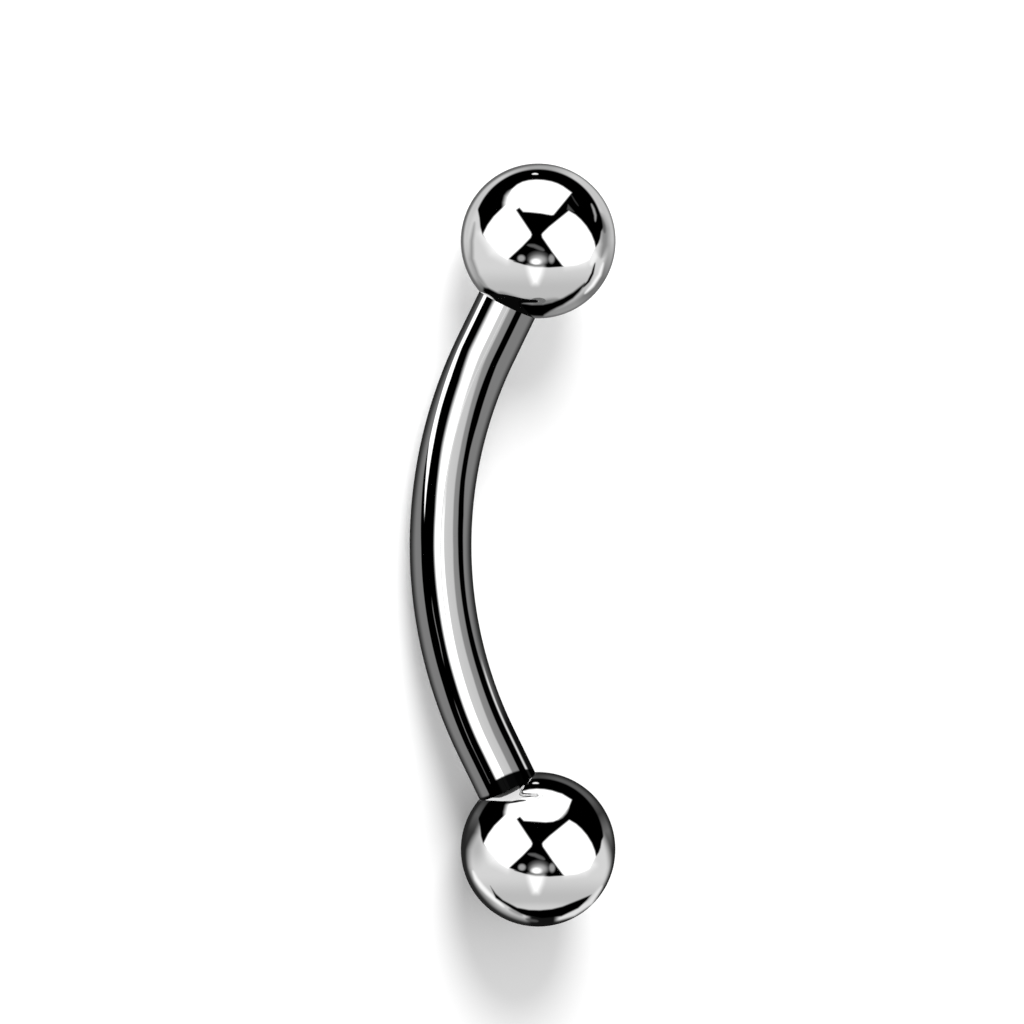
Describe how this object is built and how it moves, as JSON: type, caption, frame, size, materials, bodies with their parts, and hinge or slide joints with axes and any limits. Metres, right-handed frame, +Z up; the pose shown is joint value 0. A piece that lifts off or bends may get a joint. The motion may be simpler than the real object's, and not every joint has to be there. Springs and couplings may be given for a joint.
{
  "type": "curved eyebrow barbell",
  "caption": "Curved body-jewellery barbell: a bent round steel bar with threaded ends and a screw-on ball at each end, for an eyebrow piercing.",
  "frame": {"origin": "middle of the underside of the object's box, on the surface that it lies on", "axes": "+Y from the lower ball of the picture to the upper one, +Z up, and the bend bulges towards -X and down"},
  "size_m": [0.0038, 0.0148, 0.003],
  "materials": {
    "bar_steel": "mirror-polished surgical steel, with faint drawing and polishing lines along the bar",
    "ball_steel": "mirror-polished surgical steel"
  },
  "bodies": {
    "bar": {"curved_bar": "bar_steel"},
    "upper_ball": {"upper_ball": "ball_steel"},
    "lower_ball": {"lower_ball": "ball_steel"}
  },
  "joints": [
    {"name": "upper_ball_off", "type": "slide", "parent": "bar", "child": "upper_ball", "axis": [0.3817, 0.9009, 0.2065], "range_m": [0, 0.0025]},
    {"name": "lower_ball_off", "type": "slide", "parent": "bar", "child": "lower_ball", "axis": [0.3817, -0.9009, 0.2065], "range_m": [0, 0.0025]}
  ]
}
